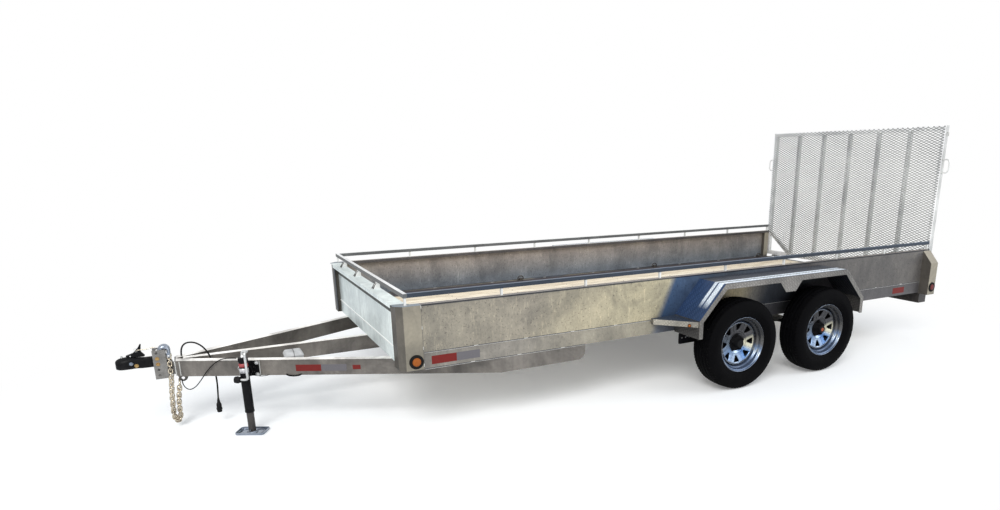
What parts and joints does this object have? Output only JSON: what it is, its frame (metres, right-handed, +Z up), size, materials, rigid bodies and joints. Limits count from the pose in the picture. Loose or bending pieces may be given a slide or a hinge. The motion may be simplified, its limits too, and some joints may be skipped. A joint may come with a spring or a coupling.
{
  "type": "utility trailer",
  "caption": "Open tandem-axle utility trailer with solid sheet sides, a tie rail, a wood deck, a mesh ramp gate and a swivel jack on its A-frame tongue.",
  "frame": {"origin": "on the ground under the middle of the whole trailer, measured over its coupler and gate hinges", "axes": "+X forward to the coupler, +Y to the trailer's left, +Z up"},
  "size_m": [6.522, 2.58, 1.938],
  "materials": {
    "galvanised": "hot-dip galvanised, dull",
    "black_steel": "semi-gloss black",
    "zinc_plated": "bright zinc",
    "tyre_rubber": "matt",
    "silver_paint": "silver paint",
    "dark_hub": "satin black",
    "plank_wood": "sawn and weathered",
    "red_lamp": "gloss lens",
    "amber_lamp": "gloss lens",
    "grey_plastic": "moulded",
    "cable_rubber": "jacket",
    "black_plastic": "moulded"
  },
  "bodies": {
    "trailer": {"axle_front": "galvanised", "axle_rear": "galvanised", "battery_box": "grey_plastic", "breakaway_cable": "cable_rubber", "chain_hooks": "zinc_plated", "chain_tab": "galvanised", "corner_posts": "galvanised", "coupler_body": "black_steel", "coupler_bracket": "galvanised", "coupler_latch": "zinc_plated", "cross_members": "galvanised", "deck_planks": "plank_wood", "fender_left": "galvanised", "fender_right": "galvanised", "fender_steps": "galvanised", "front_wall": "galvanised", "gate_hinge_knuckles": "galvanised", "jack_mount": "galvanised", "leaf_springs": "black_steel", "marker_lights": "amber_lamp", "plug": "black_plastic", "plug_cable": "cable_rubber", "rear_cross_beam": "galvanised", "rear_sill": "galvanised", "safety_chains": "zinc_plated", "side_rail_left": "galvanised", "side_rail_right": "galvanised", "side_wall_left": "galvanised", "side_wall_right": "galvanised", "spring_hangers": "galvanised", "tail_lamps": "red_lamp", "tail_light_boxes": "galvanised", "tie_down_rings": "zinc_plated", "tie_rail_front": "galvanised", "tie_rail_left": "galvanised", "tie_rail_posts": "galvanised", "tie_rail_right": "galvanised", "tongue_center_beam": "galvanised", "tongue_rail_left": "galvanised", "tongue_rail_right": "galvanised"},
    "wheel_front_left": {"tyre_front_left": "tyre_rubber", "rim_front_left": "silver_paint", "hub_front_left": "dark_hub"},
    "wheel_front_right": {"tyre_front_right": "tyre_rubber", "rim_front_right": "silver_paint", "hub_front_right": "dark_hub"},
    "wheel_rear_left": {"tyre_rear_left": "tyre_rubber", "rim_rear_left": "silver_paint", "hub_rear_left": "dark_hub"},
    "wheel_rear_right": {"tyre_rear_right": "tyre_rubber", "rim_rear_right": "silver_paint", "hub_rear_right": "dark_hub"},
    "ramp_gate": {"gate_frame": "galvanised", "gate_mesh": "galvanised", "gate_handles": "galvanised", "gate_hinge_lugs": "galvanised"},
    "jack": {"jack_outer_tube": "black_steel", "jack_crank": "zinc_plated"},
    "jack_leg": {"jack_inner_tube": "zinc_plated", "jack_foot": "zinc_plated"}
  },
  "joints": [
    {"name": "front_left_wheel_spin", "type": "hinge", "parent": "trailer", "child": "wheel_front_left", "pos_m": [-0.7005, 1.177, 0.34], "axis": [0, 1, 0], "continuous": true},
    {"name": "front_right_wheel_spin", "type": "hinge", "parent": "trailer", "child": "wheel_front_right", "pos_m": [-0.7005, -1.177, 0.34], "axis": [0, 1, 0], "continuous": true},
    {"name": "rear_left_wheel_spin", "type": "hinge", "parent": "trailer", "child": "wheel_rear_left", "pos_m": [-1.5735, 1.177, 0.34], "axis": [0, 1, 0], "continuous": true},
    {"name": "rear_right_wheel_spin", "type": "hinge", "parent": "trailer", "child": "wheel_rear_right", "pos_m": [-1.5735, -1.177, 0.34], "axis": [0, 1, 0], "continuous": true},
    {"name": "ramp_gate_hinge", "type": "hinge", "parent": "trailer", "child": "ramp_gate", "pos_m": [-3.249, 0, 0.56], "axis": [0, -1, 0], "range_deg": [0, 114]},
    {"name": "jack_swivel", "type": "hinge", "parent": "trailer", "child": "jack", "pos_m": [2.571, 0.34878, 0.402], "axis": [0.4664, 0.8846, 0], "range_deg": [0, 90]},
    {"name": "jack_screw", "type": "slide", "parent": "jack", "child": "jack_leg", "axis": [0, 0, 1], "range_m": [-0.18, 0.11]}
  ]
}
